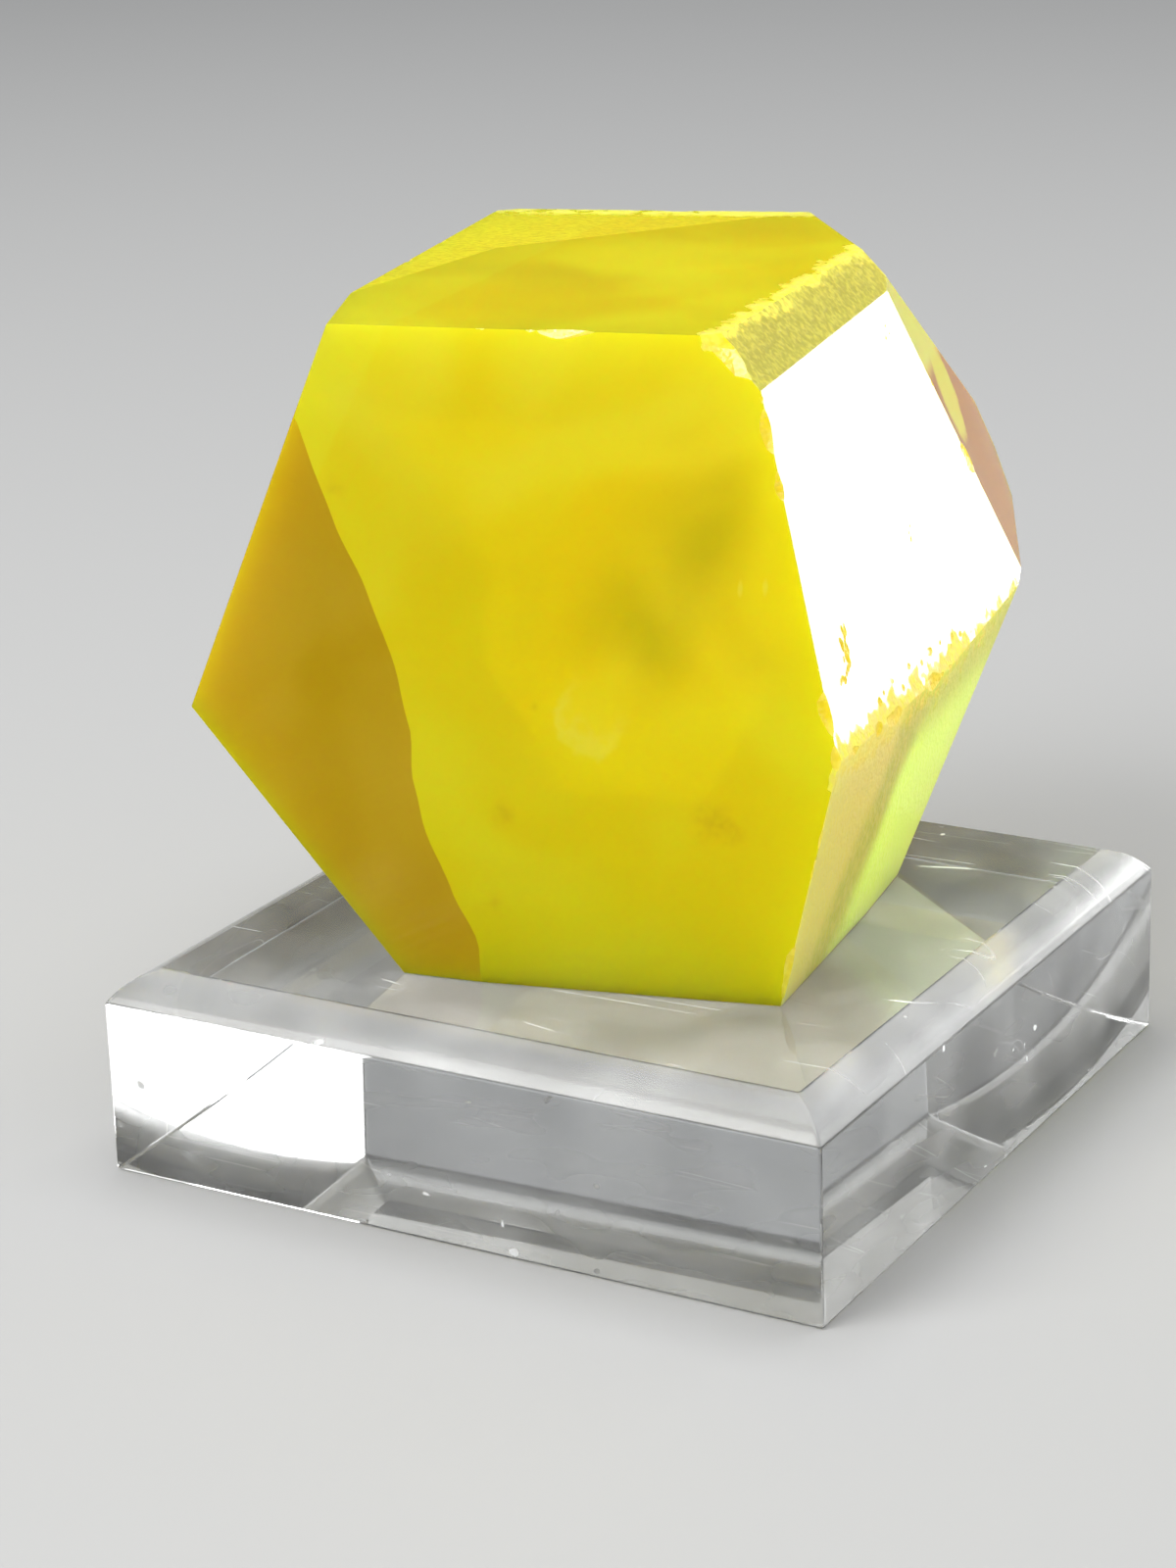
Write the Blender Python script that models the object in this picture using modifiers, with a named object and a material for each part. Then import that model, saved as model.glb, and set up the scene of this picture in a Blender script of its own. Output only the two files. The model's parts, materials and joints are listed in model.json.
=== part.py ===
"""A native sulfur crystal standing on one of its flat faces on a clear bevelled display block.

Two solids: the crystal, grown as one piece, and the block that it rests on.
The origin is the centre of the block's underside, +X runs along the block's front side, +Y goes away
from the front and +Z is up. Lengths in the tables are millimetres, everything built is in metres.
"""
import random
from math import cos, pi, radians, sin

import bmesh
import bpy
from mathutils import Vector

MM = 0.001

# ---- driving dimensions -------------------------------------------------------------------------
BLOCK_SIDE = 50.0 * MM          # square plan
BLOCK_HEIGHT = 13.25 * MM
BEVEL_WIDTH = 2.7 * MM          # of the bulged top bevel, measured inwards across the top
BEVEL_HEIGHT = 1.9 * MM         # of the same bevel, measured down the side
BEVEL_STEPS = 6
BEVEL_BULGE = (0.18 * MM, 0.24 * MM)    # outwards and upwards, from a flat chamfer at its middle
BLOCK_EDGE_ROUND = 0.25 * MM    # worn upright and bottom edges
ACRYLIC = {"colour": (0.96, 0.97, 0.96), "roughness": 0.04, "ior": 1.49, "transmission": 1.0}

REST_GAP = 0.3 * MM             # between the crystal's base face and the top of the block
CRYSTAL_CENTRE = Vector((-5.0, 10.0, 32.5)) * MM
ROUGH_BLANK = 120.0 * MM        # cube that the crystal is cut from
EDGE_WEAR = 0.12 * MM           # tiny flat worn along the crystal's edges
WEAR_MIN_ANGLE = radians(9.0)   # the shallow front_left edge stays sharp
CHIP_SEED = 7
CHIP_JITTER = 0.16              # share of a chip's radius by which its hollow is uneven
CHIP_LENGTH = 1.5               # along the edge, in radii
EDGE_STEPS = 8                  # to bring a point near an edge onto it
SULFUR = {"colour": (0.86, 0.68, 0.01), "roughness": 0.22, "ior": 2.0, "transmission": 0.6}

# The crystal's faces: azimuth and elevation of the outward normal in degrees, and distance from
# CRYSTAL_CENTRE in millimetres. A face and the one opposite it are close to parallel.
FACES = {
    "top": (0.0, 90.0, 19.4),
    # the big pyramid face at the front, and the shallow face beside it
    "front": (-76.5, 15.0, 19.8),
    "front_left": (-81.5, 13.0, 20.9),
    # right side, from the shoulder down
    "right_shoulder": (7.5, 44.0, 21.2),
    "right": (8.5, 16.5, 17.5),
    "right_foot": (7.5, -9.5, 20.6),
    "right_foot_rear": (9.5, -11.0, 20.75),
    # right rear corner
    "corner_shoulder": (40.5, 39.5, 24.9),
    "corner": (20.5, 21.5, 20.5),
    "corner_foot": (49.0, -48.0, 22.9),
    # rear
    "rear_upper": (103.5, 16.5, 29.3),
    "rear_lower": (103.5, -15.0, 28.5),
    "rear_foot": (103.5, -45.0, 24.5),
    # left rear corner
    "rear_left_upper": (147.5, 23.0, 34.0),
    "rear_left_foot": (150.0, -40.0, 25.9),
    # left side
    "left_shoulder": (-167.5, 33.0, 25.0),
    "left_upper": (-156.0, 21.5, 24.0),
    "left": (-171.0, 17.5, 23.5),
    "left_lower": (-171.5, -16.5, 23.1),
    "left_foot": (-172.5, -46.0, 18.3),
}

# Conchoidal chips along the edges: the two faces, a point near the edge in millimetres,
# the chip's radius and its depth in millimetres.
CHIPS = (
    ("front", "top", (-1.6, -4.9, 51.9), 1.7, 0.32),
    ("front", "right_shoulder", (8.2, -2.8, 51.2), 2.3, 0.60),
    ("front", "right", (11.3, -3.3, 46.6), 1.5, 0.34),
    ("front", "right", (12.4, -4.0, 43.4), 1.3, 0.26),
    ("front", "right", (16.6, -6.5, 30.4), 1.6, 0.36),
    ("front", "right", (17.3, -6.9, 27.6), 1.3, 0.32),
    ("front", "right_foot", (15.9, -10.8, 15.6), 1.4, 0.34),
    ("right", "right_foot", (16.0, 4.0, 27.2), 1.8, 0.30),
    ("right", "right_foot", (14.6, 12.5, 26.9), 1.6, 0.28),
    ("right", "corner", (9.1, 30.2, 36.9), 1.4, 0.26),
    ("right_shoulder", "top", (5.2, 14.5, 51.9), 1.6, 0.28),
    ("rear_upper", "top", (-14.6, 33.1, 51.9), 2.0, 0.40),
    ("rear_upper", "rear_lower", (-12.0, 42.0, 33.0), 2.2, 0.45),
    ("left", "left_lower", (-30.0, 14.0, 31.5), 1.9, 0.38),
)


def normal_of(azimuth, elevation):
    """Unit vector for a direction given in degrees."""
    a, e = radians(azimuth), radians(elevation)
    return Vector((cos(a) * cos(e), sin(a) * cos(e), sin(e)))


def face_plane(name):
    """A face's outward normal and a point on it."""
    azimuth, elevation, distance = FACES[name]
    normal = normal_of(azimuth, elevation)
    return normal, CRYSTAL_CENTRE + normal * distance * MM


def clear_scene():
    """Remove every object that the file opened with."""
    for obj in list(bpy.data.objects):
        bpy.data.objects.remove(obj, do_unlink=True)


def new_collection(name):
    """A collection linked to the scene."""
    collection = bpy.data.collections.new(name)
    bpy.context.scene.collection.children.link(collection)
    return collection


def mesh_object(name, bm, collection, material=None):
    """Turn a bmesh into a named object in a collection."""
    mesh = bpy.data.meshes.new(name)
    bm.to_mesh(mesh)
    bm.free()
    obj = bpy.data.objects.new(name, mesh)
    collection.objects.link(obj)
    if material:
        mesh.materials.append(material)
    return obj


def clear_material(name, colour, roughness, ior, transmission):
    """A see-through Principled material."""
    material = bpy.data.materials.new(name)
    material.use_nodes = True
    shader = material.node_tree.nodes["Principled BSDF"]
    shader.inputs["Base Color"].default_value = (*colour, 1.0)
    shader.inputs["Roughness"].default_value = roughness
    shader.inputs["Metallic"].default_value = 0.0
    shader.inputs["IOR"].default_value = ior
    shader.inputs["Transmission Weight"].default_value = transmission
    return material


def cut_flat(bm, point, normal):
    """Cut off everything outside a plane and close the cut with one face."""
    everything = bm.verts[:] + bm.edges[:] + bm.faces[:]
    bmesh.ops.bisect_plane(bm, geom=everything, plane_co=point, plane_no=normal, clear_outer=True)
    rim = [edge for edge in bm.edges if edge.is_boundary]
    bmesh.ops.holes_fill(bm, edges=rim)


def chip_lump(bm, face_a, face_b, near, radius, depth, rng):
    """Add one rough lump that bites into the edge between two faces."""
    normal_a, point_a = face_plane(face_a)
    normal_b, point_b = face_plane(face_b)
    spot = Vector(near) * MM
    along = normal_a.cross(normal_b).normalized()
    # slide the given point onto the edge line, square to the edge
    for _ in range(EDGE_STEPS):
        spot -= normal_a * normal_a.dot(spot - point_a)
        spot -= normal_b * normal_b.dot(spot - point_b)
    outward = (normal_a + normal_b).normalized()
    centre = spot + outward * (radius - depth) * MM
    lump = bmesh.ops.create_icosphere(bm, subdivisions=2, radius=radius * MM)["verts"]
    for vert in lump:
        vert.co *= 1.0 + rng.uniform(-CHIP_JITTER, CHIP_JITTER)
        vert.co += along * vert.co.dot(along) * (CHIP_LENGTH - 1.0)
        vert.co += centre


def make_crystal(parts, cutters):
    """Cut the faces from a blank one after another, wear the edges and chip them."""
    bm = bmesh.new()
    bmesh.ops.create_cube(bm, size=ROUGH_BLANK)
    bmesh.ops.translate(bm, verts=bm.verts, vec=CRYSTAL_CENTRE)
    for name in FACES:
        normal, point = face_plane(name)
        cut_flat(bm, point, normal)
    cut_flat(bm, Vector((0.0, 0.0, BLOCK_HEIGHT + REST_GAP)), Vector((0.0, 0.0, -1.0)))
    bmesh.ops.recalc_face_normals(bm, faces=bm.faces)
    crystal = mesh_object("sulfur_crystal", bm, parts, clear_material("sulfur", **SULFUR))

    wear = crystal.modifiers.new("edge wear", "BEVEL")
    wear.width = EDGE_WEAR
    wear.segments = 1
    wear.limit_method = "ANGLE"
    wear.angle_limit = WEAR_MIN_ANGLE

    rng = random.Random(CHIP_SEED)
    lumps = bmesh.new()
    for chip in CHIPS:
        chip_lump(lumps, *chip, rng)
    cutter = mesh_object("chip_cutter", lumps, cutters)
    cutter.hide_render = True
    cutter.display_type = "WIRE"
    chips = crystal.modifiers.new("chips", "BOOLEAN")
    chips.operation = "DIFFERENCE"
    chips.object = cutter
    return crystal


def make_block(parts):
    """A square slab whose upright and bottom edges are worn and whose top edge has a bulged bevel."""
    body_height = BLOCK_HEIGHT - BEVEL_HEIGHT
    bm = bmesh.new()
    bmesh.ops.create_cube(bm, size=1.0)
    bmesh.ops.scale(bm, verts=bm.verts, vec=(BLOCK_SIDE, BLOCK_SIDE, body_height))
    bmesh.ops.translate(bm, verts=bm.verts, vec=(0.0, 0.0, body_height / 2.0))
    worn = [edge for edge in bm.edges if min(vert.co.z for vert in edge.verts) < body_height / 2.0]

    top = max(bm.faces, key=lambda face: face.calc_center_median().z)
    inset_done = 0.0
    height_done = 0.0
    for step in range(1, BEVEL_STEPS + 1):
        t = step / BEVEL_STEPS
        bulge = sin(pi * t)
        inset = BEVEL_WIDTH * t - BEVEL_BULGE[0] * bulge
        height = BEVEL_HEIGHT * t + BEVEL_BULGE[1] * bulge
        bmesh.ops.inset_region(bm, faces=[top], thickness=inset - inset_done, use_even_offset=True)
        bmesh.ops.translate(bm, verts=top.verts[:], vec=(0.0, 0.0, height - height_done))
        inset_done, height_done = inset, height
    bmesh.ops.bevel(bm, geom=worn, offset=BLOCK_EDGE_ROUND, segments=2, profile=0.5, affect="EDGES")
    bmesh.ops.recalc_face_normals(bm, faces=bm.faces)
    return mesh_object("display_block", bm, parts, clear_material("clear_acrylic", **ACRYLIC))


def main():
    """Build the block and the crystal."""
    clear_scene()
    parts = new_collection("sulfur_specimen")
    cutters = new_collection("cutters")
    make_block(parts)
    make_crystal(parts, cutters)


main()
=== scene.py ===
"""Looks of a native sulfur crystal that rests on a clear square display block.

The crystal is cut face by face from a blank, its edges are worn and chipped, and its faces carry
growth marks, frosting and clouds. The block has a bulged top bevel and hairline scratches.
Lengths in the tables are in mm, except where a comment says metres. Everything built is in metres,
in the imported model's frame: the origin is the centre of the block's underside, +Y goes away from
its front side and +Z is up.
"""
import json
import random
from math import cos, pi, radians, sin

import bmesh
import bpy
from bpy.props import FloatProperty, FloatVectorProperty, IntProperty, PointerProperty
from mathutils import Matrix, Vector, noise

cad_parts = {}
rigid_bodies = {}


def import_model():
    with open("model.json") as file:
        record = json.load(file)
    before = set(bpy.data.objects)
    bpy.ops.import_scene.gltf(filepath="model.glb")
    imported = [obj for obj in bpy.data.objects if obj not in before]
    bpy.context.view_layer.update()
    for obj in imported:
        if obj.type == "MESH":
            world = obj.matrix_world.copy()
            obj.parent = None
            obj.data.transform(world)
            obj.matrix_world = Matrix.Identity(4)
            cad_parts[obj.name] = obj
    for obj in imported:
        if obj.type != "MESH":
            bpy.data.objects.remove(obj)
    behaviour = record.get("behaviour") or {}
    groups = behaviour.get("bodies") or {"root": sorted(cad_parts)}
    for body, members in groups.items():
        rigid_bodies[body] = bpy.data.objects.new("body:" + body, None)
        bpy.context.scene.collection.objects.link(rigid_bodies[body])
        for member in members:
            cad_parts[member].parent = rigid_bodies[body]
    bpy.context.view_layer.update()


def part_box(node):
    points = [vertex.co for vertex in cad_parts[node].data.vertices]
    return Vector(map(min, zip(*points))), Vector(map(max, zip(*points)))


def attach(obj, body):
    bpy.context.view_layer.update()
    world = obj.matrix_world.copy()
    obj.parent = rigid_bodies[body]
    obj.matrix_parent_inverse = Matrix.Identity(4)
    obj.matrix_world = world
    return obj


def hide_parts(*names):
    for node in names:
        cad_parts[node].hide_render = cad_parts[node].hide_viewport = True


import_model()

bl_info = {
    "name": "Sulfur crystal on a display block",
    "version": (1, 0, 0),
    "blender": (4, 5, 0),
    "location": "3D View > Sidebar > Sulfur crystal",
    "description": "Builds a chipped native sulfur crystal, its clear display block and a studio",
    "category": "Object",
}

MM = 0.001
CRYSTAL_NODE = "sulfur_crystal"
BLOCK_NODE = "display_block"
CRYSTAL_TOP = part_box(CRYSTAL_NODE)[1].z
BLOCK_LOW, BLOCK_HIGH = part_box(BLOCK_NODE)
UP = Vector((0.0, 0.0, 1.0))

# ---- shape of the crystal ----
CRYSTAL_CENTRE = Vector((-5.0, 10.0, 32.5)) * MM
ROUGH_BLANK = 120.0 * MM        # cube that the crystal is cut from
CONTACT_GAP = 0.02 * MM         # the base face all but touches the block

# azimuth and elevation of each face's outward normal in degrees, distance from the centre
FACES = {
    "top": (0.0, 90.0, 19.4),
    "front": (-76.5, 15.0, 19.8),
    "front_left": (-81.5, 13.0, 20.9),
    "right_shoulder": (7.5, 44.0, 21.2),
    "right": (8.5, 16.5, 17.5),
    "right_foot": (7.5, -9.5, 20.6),
    "right_foot_rear": (9.5, -11.0, 20.75),
    "corner_shoulder": (40.5, 39.5, 24.9),
    "corner": (20.5, 21.5, 20.5),
    "corner_foot": (49.0, -48.0, 22.9),
    "rear_upper": (103.5, 16.5, 29.3),
    "rear_lower": (103.5, -15.0, 28.5),
    "rear_foot": (103.5, -45.0, 24.5),
    "rear_left_upper": (147.5, 23.0, 34.0),
    "rear_left_foot": (150.0, -40.0, 25.9),
    "left_shoulder": (-167.5, 33.0, 25.0),
    "left_upper": (-156.0, 21.5, 24.0),
    "left": (-171.0, 17.5, 23.5),
    "left_lower": (-171.5, -16.5, 23.1),
    "left_foot": (-172.5, -46.0, 18.3),
}
# The top's left and rear margins fall away from these lines: a point, azimuth of the fall in degrees.
TOP_MARGINS = {
    "top_left": ((-18.3, 7.0), 180.0),
    "top_rear": ((-12.0, 26.0), 143.0),
}
MARGIN_FALL = radians(1.0)

# how far the edge between front and front_left strays to the right, against height up the edge
CREASE_WAVE = ((0.0, 0.0), (2.5, 0.55), (6.0, 0.0), (10.0, -0.4), (12.8, -0.15), (16.5, 0.75),
               (20.5, 1.1), (25.0, 0.9), (30.0, 0.3), (34.0, 0.1), (40.0, 0.0))
CREASE_REACH = 6.0 * MM         # the wave dies out over this distance from the edge
CREASE_LENGTH = 42.0 * MM       # the edge's whole length, and a little more
CREASE_STATION = 0.7 * MM       # between cuts across the edge
CREASE_LANES = (0.5, 1.2, 2.2, 3.6, 5.4)        # of the cuts along it, on either side
PARALLEL = 0.9999               # least cosine between the normals of two bits of one face
NEARLY_PARALLEL = 0.999         # the same for the faces beside an edge
WORN_MIN_ANGLE = radians(9.0)   # shallower edges stay sharp
EDGE_STEPS = 8                  # to bring a point near an edge onto it

# chips: two faces, a point near their edge, radius and depth
CHIPS = (
    ("front", "top", (-1.6, -4.9, 51.9), 1.7, 0.32),
    ("front", "right_shoulder", (8.2, -2.8, 51.2), 2.3, 0.60),
    ("front", "right", (11.3, -3.3, 46.6), 1.5, 0.34),
    ("front", "right", (12.4, -4.0, 43.4), 1.3, 0.26),
    ("front", "right", (16.6, -6.5, 30.4), 1.6, 0.36),
    ("front", "right", (17.3, -6.9, 27.6), 1.3, 0.32),
    ("front", "right_foot", (15.9, -10.8, 15.6), 1.4, 0.34),
    ("right", "right_foot", (16.0, 4.0, 27.2), 1.8, 0.30),
    ("right", "right_foot", (14.6, 12.5, 26.9), 1.6, 0.28),
    ("right", "corner", (9.1, 30.2, 36.9), 1.4, 0.26),
    ("right_shoulder", "top", (5.2, 14.5, 51.9), 1.6, 0.28),
    ("rear_upper", "top", (-14.6, 33.1, 51.9), 2.0, 0.40),
    ("rear_upper", "rear_lower", (-12.0, 42.0, 33.0), 2.2, 0.45),
    ("left", "left_lower", (-30.0, 14.0, 31.5), 1.9, 0.38),
)
# runs of small chips: two faces, the run's two ends near their edge, how many, radius
CHIP_RUNS = (
    ("front", "right", (9.0, -3.0, 50.2), (11.5, -4.0, 46.0), 4, 0.45),
    ("front", "right", (12.0, -4.4, 44.0), (13.6, -4.8, 39.0), 2, 0.30),
    ("front", "right", (15.4, -5.9, 33.0), (17.2, -6.8, 27.5), 5, 0.42),
    ("front", "right_foot", (17.0, -7.5, 25.5), (15.7, -11.5, 14.6), 7, 0.42),
    ("right_shoulder", "top", (7.0, -1.0, 51.9), (2.5, 27.0, 51.9), 16, 0.60),
    ("right", "right_foot", (17.2, -5.0, 27.4), (12.6, 25.0, 26.5), 22, 0.50),
    ("rear_upper", "top", (2.0, 30.0, 51.9), (-18.0, 34.0, 51.9), 12, 0.55),
    ("top", "left_shoulder", (-24.0, 2.0, 51.9), (-28.0, 18.0, 51.9), 8, 0.45),
    ("front", "top", (-8.0, -7.0, 51.9), (-2.0, -5.5, 51.9), 3, 0.30),
    ("right", "corner", (8.0, 27.0, 43.0), (10.0, 32.0, 33.0), 8, 0.42),
    ("left", "front_left", (-23.0, -4.0, 42.0), (-27.0, -8.0, 33.0), 5, 0.40),
    ("rear_upper", "rear_lower", (-2.0, 36.0, 33.0), (-22.0, 42.0, 33.0), 9, 0.50),
)
CHIP_SIZE = (0.35, 1.5)         # least share of the run's radius, and how much comes on top
CHIP_SIZE_POWER = 2.2           # the higher, the rarer the large ones
CHIP_DEPTH = (0.10, 0.35)       # shares of the chip's own radius

# runs of little pits on one face: the face, the run's two ends, how many, radius
PIT_RUNS = (
    ("right", (14.6, -0.8, 34.2), (15.2, -1.0, 32.0), 13, 0.32),
    ("right", (15.3, -1.3, 31.8), (15.6, -3.2, 31.0), 5, 0.28),
    ("right", (15.5, 1.0, 28.7), (13.3, 21.0, 27.9), 11, 0.36),
    ("right", (7.2, 21.7, 47.7), (7.6, 20.8, 46.8), 3, 0.20),
    ("right", (11.6, 15.4, 36.2), (12.0, 14.8, 35.0), 3, 0.18),
)
PIT_SPREAD = 1.2                # sideways from the run, in radii
PIT_SIZE = (0.6, 1.3)           # shares of its run's radius
PIT_LIFT = (0.55, 0.8)          # how far the ball that cuts a pit stands off, in radii

# the balls that cut chips and pits
LUMP_UNEVEN = 0.16              # share of the radius
LUMP_NOISE = 1.7                # unevenness per radius
LUMP_NOISE_SHIFT = 50.0
LUMP_STRETCH = (0.2, 0.9)       # along the edge or run, in radii
LARGE_LUMP = 0.9 * MM           # those with a larger radius are finer meshes

# ---- material of the crystal ----
# the crystal's faces that carry each kind of surface; a chip is what the cutting balls leave
KINDS = {
    "frosted": ("right_shoulder", "corner_shoulder", "left_shoulder"),
    "margin": ("top_left", "top_rear"),
    "shallow": ("front_left",),
    "mirror": ("right",),
    "rough_foot": ("right_foot", "right_foot_rear"),
    # the corner face carries a painted refraction: the orange seen through it
    "refracting_corner": ("corner",),
    "chipped": ("chip",),
}
KIND_ROUGHNESS = {"mirror": 0.06, "refracting_corner": 0.10, "frosted": 0.50, "margin": 0.24,
                  "rough_foot": 0.32, "chipped": 0.30}
BODY_ROUGHNESS = (0.10, 0.20)
BRUISE_ROUGHNESS = 0.65
KIND_UNEVEN = {"frosted": 1.0, "rough_foot": 1.0, "chipped": 1.0, "margin": 0.6}
KIND_OPAQUE = {"shallow": 0.85, "frosted": 0.5, "chipped": 0.4, "margin": 0.4}
FOOT_OPAQUE = (0.1, 0.85)       # of the foot's straw and of its lime part
SULFUR_IOR = 2.0
GLOW_SPREAD = (1.0, 0.75, 0.08)     # how far red, green and blue spread, against the glow depth
DEPTH_DENSITY = 60.0            # of the absorption inside, per metre

# noises: scale, detail, roughness and, for the first, distortion
CLOUDY_NOISE = (75.0, 2.0, 0.55, 0.5)
RAGGED_NOISE = (560.0, 2.0, 0.6)
GRAIN_NOISE = (1400.0, 1.0, 0.65)
POWDER_NOISE = (2400.0, 1.0, 0.65)
SWELL_NOISE = (130.0, 0.0)
SWELL_BUMP = (0.25, 0.6 * MM)   # strength and distance of the slow swell of every face
POWDER_BUMP = (0.6, 0.16 * MM)  # and of the grain of the uneven ones

# soft marks inside the crystal, the dark clouds among them being painted shade: a point and a radius
BRIGHT_CLOUDS = (((-5.4, -8.1, 43.6), 7.0), ((-5.7, -10.7, 34.3), 6.0), ((2.5, -10.2, 27.0), 6.5),
                 ((3.0, -12.5, 18.0), 6.0))
# painted shade: the dark clouds darken the right part of the front
PAINTED_SHADE_CLOUDS = (((9.4, -4.8, 43.6), 7.0), ((8.4, -5.9, 39.6), 7.5), ((7.0, -7.2, 36.2), 6.8),
               ((5.6, -8.3, 33.2), 5.8), ((12.0, -6.5, 33.0), 4.5))
SMUDGES = (((10.2, -9.8, 23.8), 1.8), ((11.6, -9.7, 23.1), 1.2), ((-2.6, -13.0, 23.4), 1.2),
           ((-2.7, -14.5, 18.1), 1.5), ((-15.2, -10.9, 42.2), 1.2), ((-1.2, -10.9, 29.9), 0.5))
STREAKS = (((10.5, -6.0, 37.4), 0.22), ((12.0, -5.6, 37.6), 0.22))
# how strongly each mark tints what is under it
BRIGHT_TINT = 0.6
PAINTED_SHADE_TINT = 0.75
SMUDGE_TINT = (0.12, 0.30)
STREAK_TINT = 0.5
FACET_LIGHT_TINT = 0.35
MARGIN_TINT = (0.1, 0.55)
FROST_POWDER = 0.30
BRUISE_TINT = 0.7
CHIP_TINT = 0.75
CHIP_POWDER = 0.5

# a curved flaw in the front, open to the upper right
VEIL_CENTRE = (2.6, -9.9, 29.7)
VEIL_RADIUS = 2.1
VEIL_WOBBLE = 3.2               # how unevenly its rim runs
VEIL_INSIDE = (0.9, 0.1)        # from the rim inwards, between these it gets brighter
VEIL_OUTSIDE = 0.8              # it fades over this much outside the rim
VEIL_WAY = Vector((-0.55, 0.0, -0.83))  # to its bright lower left
VEIL_SIDES = (-1.6, 1.4)        # along that way it brightens between these
VEIL_TINT = (0.25, 0.42)        # share of the rim's brightness inside it, and the brightest tint

FACET_LIGHT_LINE = ((-13.7, -8.5, 49.4), (-16.6, -11.3, 41.8))     # painted highlight: upper left of this line the front is painted brighter
FACET_LIGHT_FADE = (-0.2, 0.3)        # across that line
FOOT_RIDGE = ((-3.1, 16.4), (12.3, 29.9))       # the ridge on the right foot, as y and z
FOOT_WOBBLE = 6.0               # how unevenly the foot's zones run
STRAW_FADE = 3.0                # from the ridge
LIME_BAND = (4.5, 9.5)          # from the ridge, the lime gets full between these
LIME_HEIGHTS = (21.0, 26.0)     # and fades upwards between these
LIME_LEFT_OVER = 0.15           # share of it above them
REFRACTION_TOP = 44.0               # height of the orange part of the corner face, a painted refraction
REFRACTION_FADE = 1.5
LEAF = (((6.6, 32.0, 41.0), 3.3),)      # the yellow leaf on that face: its centre and half width

# edges with a bruised, powdery strip: each of the two faces, and how far from it the strip reaches
BRUISED_EDGES = (
    (("top", 0.5), ("right_shoulder", 0.9)),
    (("right", 0.7), ("right_foot", 0.7)),
    (("top", 0.4), ("rear_upper", 2.4)),
)
BRUISE_WOBBLE = 2.4             # how unevenly the strips' borders run
BRUISE_CORE = 0.4               # share of a strip's width that is bruised fully

# ---- block ----
BEVEL_STEPS = 14
BEVEL_BULGE = (0.18 * MM, 0.24 * MM)    # outwards and upwards, from a flat chamfer at its middle
BLOCK_EDGE_ROUND = 0.16 * MM
BLOCK_EDGE_STEPS = 3
BLOCK_EDGE_MIN_ANGLE = radians(25.0)
BLOCK_SMOOTH_ANGLE = radians(12.0)
ACRYLIC_IOR = 1.49
ACRYLIC_ROUGHNESS = 0.012
# scratch directions on the block, as turns about X, Y and Z, and a shift for each
SCRATCH_WAYS = (((0.05, 0.03, 0.5), 0.0), ((0.04, -0.05, 1.9), 1.0))
SCRATCH_SCALE = (14.0, 150.0, 150.0)    # along and across a scratch
SCRATCH_WIDTH = 0.005           # in levels of that noise
SCRATCH_BREAKS = (0.50, 0.60)   # it shows where the slow noise passes from one to the other
SCRATCH_RARER = 0.04            # raises those for the second direction
SIDE_SCRATCHES = 0.25           # how much fainter they are off the top
SLOW_NOISE = (150.0, 1.0)
DUST_NOISE = (900.0, 0.0)
DUST_LEVELS = (0.84, 0.87)
TOP_SKIN = (0.06 * MM, 0.02 * MM)   # under the block's height, where its top surface begins
BEVEL_FADE = 0.1 * MM
MARK_ROUGHNESS = (0.30, 0.4, 0.22)  # added by scratches, dust and the sloping bevel
# share of the light that is scattered on its way
CLEAR_HAZE = (0.03, 0.12)
CLEAR_LEVELS = (0.30, 0.70)
BEVEL_HAZE = 0.15
MARK_HAZE = 0.6

# ---- studio ----
CAMERA_PLACE = Vector((111.9, -198.2, 100.05)) * MM
CAMERA_AZIMUTH = radians(30.32)
CAMERA_ELEVATION = radians(18.99)
CAMERA_ROLL = radians(-1.87)
CAMERA_LENS = 86.4
CAMERA_SENSOR = 36.0
CAMERA_NEAR = 0.01              # in metres
# lights: place, width and height in metres; they face the crystal's centre
WINDOW = ((0.20, 0.36, 0.14), 0.20, 0.22)
SIDE_LIGHT = ((0.46, 0.14, 0.26), 0.8, 0.5)
OVERHEAD = ((0.0, 0.05, 0.7), 0.6, 0.6)
FILL = ((-0.25, -0.45, 0.50), 0.4, 0.4)
GLARE_PANEL = ((0.056, 0.17, 0.031), 0.066, 0.062)
GLARE_TARGET = Vector((0.056, 0.0, 0.031))      # which this panel faces instead, in metres
DOME_LOW, DOME_HIGH = sin(radians(15.0)), sin(radians(34.0))    # where its light fades in
DOME_COLOUR = (0.95, 0.97, 1.0, 1.0)
FLOOR_SIZE = 6.0                # in metres
FLOOR_GAP = 0.05 * MM           # air under the block, which keeps it clear
FLOOR_ROUGHNESS = 0.6


# ---- helpers ----
def smoothstep(t):
    """Smooth change from 0 to 1 while t does the same."""
    t = min(max(t, 0.0), 1.0)
    return t * t * (3.0 - 2.0 * t)


def direction(azimuth, elevation):
    """Unit vector for a direction given in radians."""
    flat = cos(elevation)
    return Vector((cos(azimuth) * flat, sin(azimuth) * flat, sin(elevation)))


def along_table(table, x):
    """Smoothly joined value of a table of (x, value) pairs."""
    for (x0, v0), (x1, v1) in zip(table, table[1:]):
        if x <= x1:
            return v0 + (v1 - v0) * smoothstep((x - x0) / (x1 - x0))
    return table[-1][1]


def only(obj):
    """Make obj the one selected and active object."""
    bpy.ops.object.select_all(action="DESELECT")
    obj.select_set(True)
    bpy.context.view_layer.objects.active = obj


def start_edit(obj):
    """Open obj's mesh in edit mode."""
    only(obj)
    bpy.ops.object.mode_set(mode="EDIT")


def end_edit():
    """Go back to object mode."""
    bpy.ops.object.mode_set(mode="OBJECT")


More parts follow.
